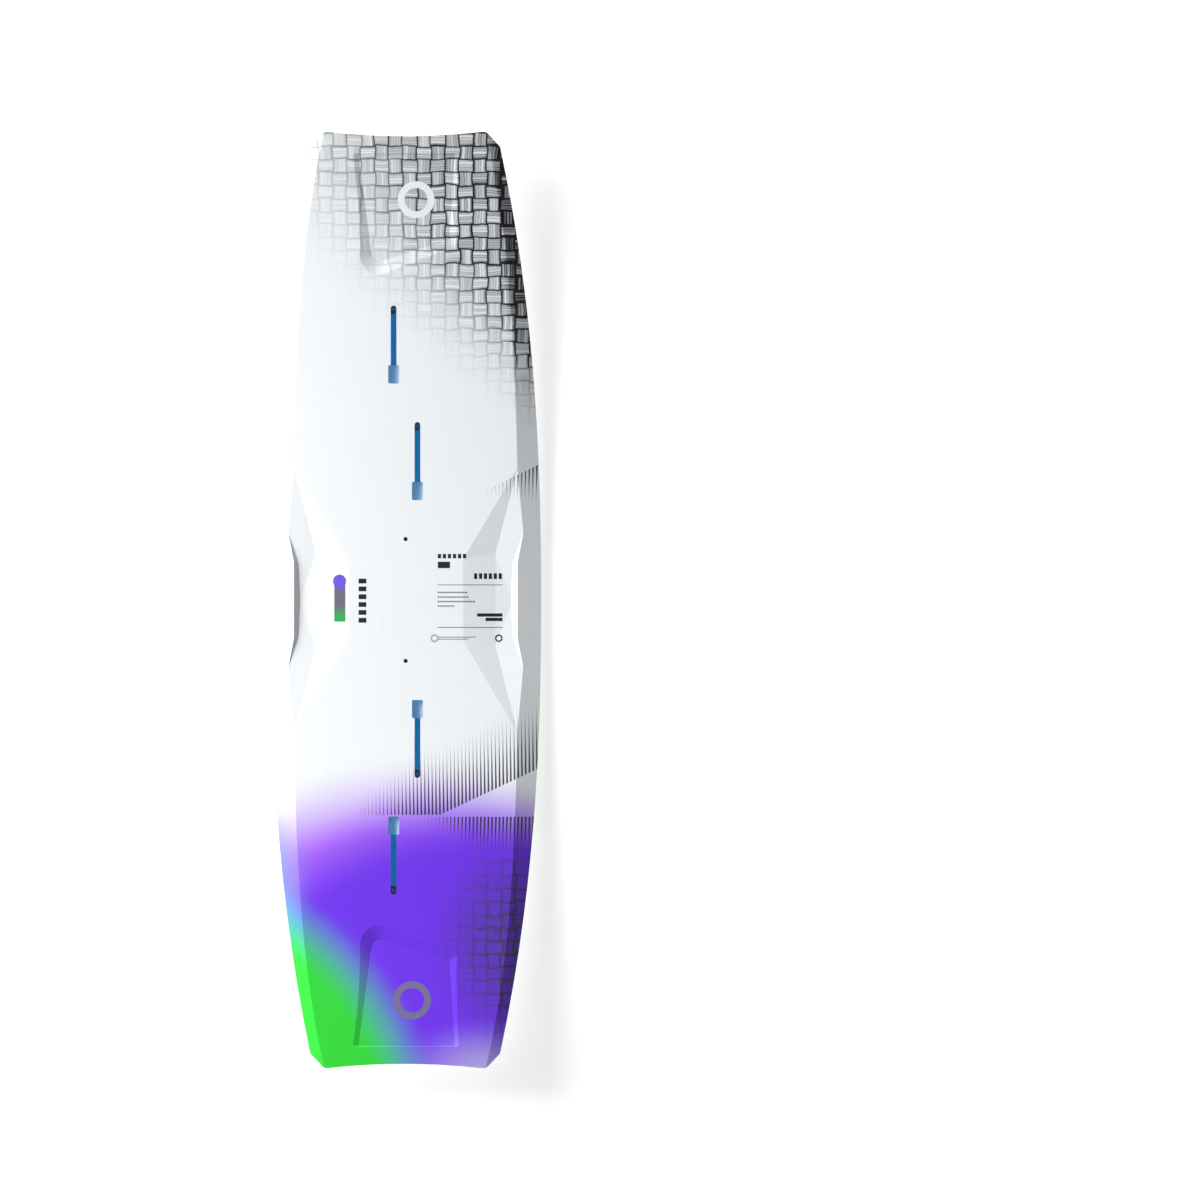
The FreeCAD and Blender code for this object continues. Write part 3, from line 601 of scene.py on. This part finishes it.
# %% Sawn woods
def sawn_wood(name, early, late, ring_mm):
    """Sawn wood with its grain along the board and growth rings ring_mm apart."""
    made, tree, shader, mm = begin(name)
    lengthwise = add(tree, "ShaderNodeMapping", None,
                     {"Vector": mm, "Scale": (1 / ring_mm, 0.004, 1 / ring_mm)})
    rings = add(tree, "ShaderNodeTexNoise", None,
                {"Vector": lengthwise.outputs[0], "Scale": 1.0, "Detail": 4.0})
    band = add(tree, "ShaderNodeMapRange", None,
               {"Value": rings.outputs["Fac"], "From Min": 0.35, "From Max": 0.65}).outputs[0]
    fine = add(tree, "ShaderNodeMapping", None, {"Vector": mm, "Scale": (2.0, 0.08, 2.0)})
    pores = add(tree, "ShaderNodeTexNoise", None, {"Vector": fine.outputs[0], "Scale": 1.0})
    fleck = add(tree, "ShaderNodeMapRange", None,
                {"Value": pores.outputs["Fac"], "From Min": 0.55, "From Max": 0.75,
                 "To Max": 0.35}).outputs[0]
    col = over(tree, over(tree, paint(early), band, paint(late)), fleck, paint("8c6b43"))
    tree.links.new(col, shader.inputs["Base Color"])
    bump = add(tree, "ShaderNodeBump", None,
               {"Height": pores.outputs["Fac"], "Strength": 0.4, "Distance": FINE_RELIEF})
    tree.links.new(bump.outputs[0], shader.inputs["Normal"])
    shader.inputs["Roughness"].default_value = 0.65
    return made


poplar = sawn_wood("poplar_wood", "e0cfa8", "c9b184", 3.0)
paulownia = sawn_wood("paulownia_wood", "e8dabb", "d3bd93", 6.0)
print("made", poplar.name, "and", paulownia.name)


# %% [markdown]
# The tracks are nylon filled with short glass fibre, moulded in blue. The fibre gives a silky,
# speckled surface. Each track's entry pocket is painted paler, a painted highlight for its wide
# floor catching more light than the narrow slot, and is matt, as scuffed by the nuts dropped into
# it; two patches, mirrored about the middle of the board, lighten those four places. A faint glow
# of the nylon, painted light, stands for the light that the white deck lets into a track's side, so
# the narrow slots never look black.

# %% Glass-filled nylon
POCKET_NEAR = (147.6, 319.4)    # mm from the board's middle to each pocket's near end
POCKET_LENGTH = 27.0
POCKET_HALF_WIDTH = 10.0
POCKET_X = (17.5, -17.5)        # inner tracks towards the toes, outer ones towards the heels
# painted light: the nylon glows, though it is no lamp
PAINTED_SLOT_GLOW = 0.42               # strength of the glow that stands for light through the laminate


def filled_nylon():
    """Blue nylon with a fibre speckle, matt in the entry pockets; painted light makes the pockets
    pale and the nylon glow.
    """
    made, tree, shader, mm = begin("glass_filled_nylon")
    speckle = add(tree, "ShaderNodeTexNoise", None, {"Vector": mm, "Scale": 1.4, "Detail": 3.0})
    fleck = add(tree, "ShaderNodeMapRange", None,
                {"Value": speckle.outputs["Fac"], "From Min": 0.35, "From Max": 0.7}).outputs[0]
    col = over(tree, paint("1b6fa6"), fleck, paint("2f8cc4"))
    xyz = add(tree, "ShaderNodeSeparateXYZ", None, {0: mm})
    from_middle = add(tree, "ShaderNodeMath", {"operation": "ABSOLUTE"}, {0: xyz.outputs[1]})
    mirrored = add(tree, "ShaderNodeCombineXYZ", None,
                   {0: xyz.outputs[0], 1: from_middle.outputs[0]}).outputs[0]
    # painted highlight: the pockets' pale colour stands for light on their wide floors; the same
    # mask makes them matt, as scuffed
    painted_light_and_scuff = either(tree, [
        bar(tree, mirrored, x - POCKET_HALF_WIDTH, x + POCKET_HALF_WIDTH,
            near, near + POCKET_LENGTH)
        for x, near in zip(POCKET_X, POCKET_NEAR)])
    # painted highlight: pale blue-grey over the four pockets
    col = over(tree, col, painted_light_and_scuff, over(tree, paint("aebac6"), fleck, paint("c4ced8")))
    tree.links.new(col, shader.inputs["Base Color"])
    gloss = add(tree, "ShaderNodeMapRange", None,
                {"Value": painted_light_and_scuff, "To Min": 0.38, "To Max": 0.62}).outputs[0]
    tree.links.new(gloss, shader.inputs["Roughness"])
    bump = add(tree, "ShaderNodeBump", None,
               {"Height": speckle.outputs["Fac"], "Strength": 0.3, "Distance": FINE_RELIEF})
    tree.links.new(bump.outputs[0], shader.inputs["Normal"])
    shader.inputs["IOR"].default_value = 1.53
    # painted light: a faint blue glow keeps the deep narrow slots from looking black
    shader.inputs["Emission Color"].default_value = paint("1f7fb8")
    shader.inputs["Emission Strength"].default_value = PAINTED_SLOT_GLOW
    return made


nylon = filled_nylon()
print("made", nylon.name)


# %% [markdown]
# The tee nuts are steel with a blue-passivated zinc plating, whose grain is crystals a few tenths
# of a millimetre wide. The handle inserts are brass, coarser in grain and browned a little by
# handling. A metal's colour is its reflection, so both are fully metallic.

# %% Metals
def metal(name, bright, dull, grain_mm, smooth, rough):
    """Bare metal with grains of grain_mm, whose gloss and colour vary together."""
    made, tree, shader, mm = begin(name)
    cells = add(tree, "ShaderNodeTexVoronoi", None, {"Vector": mm, "Scale": 1 / grain_mm})
    stain = add(tree, "ShaderNodeTexNoise", None, {"Vector": mm, "Scale": 0.3, "Detail": 4.0})
    amount = add(tree, "ShaderNodeMath", {"operation": "MULTIPLY_ADD"},
                 {0: cells.outputs["Distance"], 1: 0.4, 2: stain.outputs["Fac"]}).outputs[0]
    amount = add(tree, "ShaderNodeMapRange", None,
                 {"Value": amount, "From Min": 0.35, "From Max": 0.9}).outputs[0]
    tree.links.new(over(tree, paint(bright), amount, paint(dull)), shader.inputs["Base Color"])
    gloss = add(tree, "ShaderNodeMapRange", None,
                {"Value": amount, "To Min": smooth, "To Max": rough}).outputs[0]
    tree.links.new(gloss, shader.inputs["Roughness"])
    shader.inputs["Metallic"].default_value = 1.0
    return made


zinc = metal("zinc_plated_steel", "b4c6da", "7890aa", 0.4, 0.22, 0.42)
brass = metal("turned_brass", "d8b46a", "94703a", 0.6, 0.2, 0.4)
print("made", zinc.name, "and", brass.name)


# %% [markdown]
# The record names a material slot for each part. One table gives each slot its finish.

# %% Finishing every part
finishes = {
    "deck_print": deck_finish,
    "base_print": base_finish,
    "glass_laminate": laminate,
    "abs_rail": rail,
    "poplar": poplar,
    "paulownia": paulownia,
    "track_plastic": nylon,
    "nut_steel": zinc,
    "insert_brass": brass,
}
for part in frame["record"]["subparts"]:
    piece = nodes[part["node"]]
    piece.data.materials.clear()
    piece.data.materials.append(finishes[part["material_slot"]])
print("finished parts:", len(nodes), " finishes:", len(finishes))


# %% [markdown]
# The studio is a light table: an acrylic floor that glows faintly from below, so that shadows on it
# stay pale, and that runs to a pale wall far away. A broad key light shines low over the heel side,
# a little towards the nose, which makes the shallow facets of the deck tell. A panel beside the
# board adds a fall of light from heel to toe, and a faint fill comes from all round. Both lamps are
# cross-polarised, as for artwork: they light the board and leave no glare on it.

# %% Studio: floor and wall
FLOOR_RADIUS = 34.0     # metres
WALL_RADIUS = 33.5
WALL_HEIGHT = 8.0
FLOOR_GLOW = 0.74
WALL_GLOW = 0.5
bpy.ops.object.select_all(action="DESELECT")
bpy.ops.mesh.primitive_circle_add(
    vertices=96, radius=FLOOR_RADIUS, fill_type="NGON", location=(0, 0, 0))
floor = bpy.context.active_object
floor.name = "floor"
bpy.ops.mesh.primitive_cylinder_add(
    vertices=96, radius=WALL_RADIUS, depth=WALL_HEIGHT, end_fill_type="NOTHING",
    location=(0, 0, WALL_HEIGHT / 2))
wall = bpy.context.active_object
wall.name = "wall"
bpy.ops.object.transform_apply(location=True, rotation=True, scale=True)

table, _, shader, _ = begin("lit_acrylic_table")
shader.inputs["Base Color"].default_value = paint("bcbcbc")
shader.inputs["Roughness"].default_value = 1.0
shader.inputs["Specular IOR Level"].default_value = 0.0
shader.inputs["Emission Color"].default_value = (1, 1, 1, 1)
shader.inputs["Emission Strength"].default_value = FLOOR_GLOW
floor.data.materials.append(table)
glow, _, shader, _ = begin("lit_wall")
shader.inputs["Base Color"].default_value = paint("f8f8f8")
shader.inputs["Emission Color"].default_value = (1, 1, 1, 1)
shader.inputs["Emission Strength"].default_value = WALL_GLOW
wall.data.materials.append(glow)
wall.visible_shadow = False     # the low key light passes it
print("floor", 2 * FLOOR_RADIUS, "m across, wall", WALL_HEIGHT, "m high")

# %% Studio: lamps
FILL = 0.06             # strength of the light from all round
KEY_HEIGHT = 15.0       # degrees above the floor
KEY_TURN = 28.0         # degrees from the heel side towards the nose
KEY_BREADTH = 28.0      # degrees across, as seen from the board
KEY_STRENGTH = 6.5
PANEL_PLACE = Vector((-1.7, 0.2, 0.52))     # metres
PANEL_SIZE = (1.5, 0.6)
PANEL_WATTS = 54.0
world = bpy.data.worlds.new("studio")
bpy.context.scene.world = world
world.use_nodes = True
world.node_tree.nodes["Background"].inputs["Color"].default_value = (0.95, 0.97, 1.0, 1)
world.node_tree.nodes["Background"].inputs["Strength"].default_value = FILL

bpy.ops.object.light_add(type="SUN")
key = bpy.context.active_object
key.name = "key"
up, turn = math.radians(KEY_HEIGHT), math.radians(KEY_TURN)
towards = Vector((-math.cos(up) * math.cos(turn), math.cos(up) * math.sin(turn), math.sin(up)))
key.rotation_euler = towards.to_track_quat("Z", "Y").to_euler()
key.data.angle = math.radians(KEY_BREADTH)
key.data.energy = KEY_STRENGTH
key.visible_glossy = False      # no glare

bpy.ops.object.light_add(type="AREA", location=PANEL_PLACE)
panel = bpy.context.active_object
panel.name = "panel"
panel.rotation_euler = PANEL_PLACE.to_track_quat("Z", "Y").to_euler()
panel.data.shape = "RECTANGLE"
panel.data.size, panel.data.size_y = PANEL_SIZE
panel.data.energy = PANEL_WATTS
panel.visible_camera = False
panel.visible_glossy = False
print("key light from", tuple(round(v, 2) for v in towards))


# %% [markdown]
# The camera looks straight down on the deck from far away with a long lens, so the board shows
# almost without perspective. The board lies to one side of the picture, which leaves room beside
# it on a page.

# %% Camera
SEEN_WIDTH = 1.771      # metres across the picture
LENS = 250.0            # mm
SENSOR = 36.0           # mm
AIMED_AT = 0.4          # of the board's height: the level where the picture is SEEN_WIDTH wide
BESIDE = 0.287          # metres from the board's middle to the picture's
bpy.ops.object.camera_add()
camera = bpy.context.active_object
camera.name = "camera"
camera.data.lens = LENS
camera.data.sensor_width = SENSOR
distance = SEEN_WIDTH * LENS / SENSOR
camera.location = (BESIDE, 0.0, cad_high.z * AIMED_AT + distance)
camera.rotation_euler = (0, 0, 0)       # straight down
camera.data.clip_end = 100.0
bpy.context.scene.camera = camera
bpy.context.scene.view_settings.view_transform = "Standard"
print("camera", round(distance, 2), "m above the board")
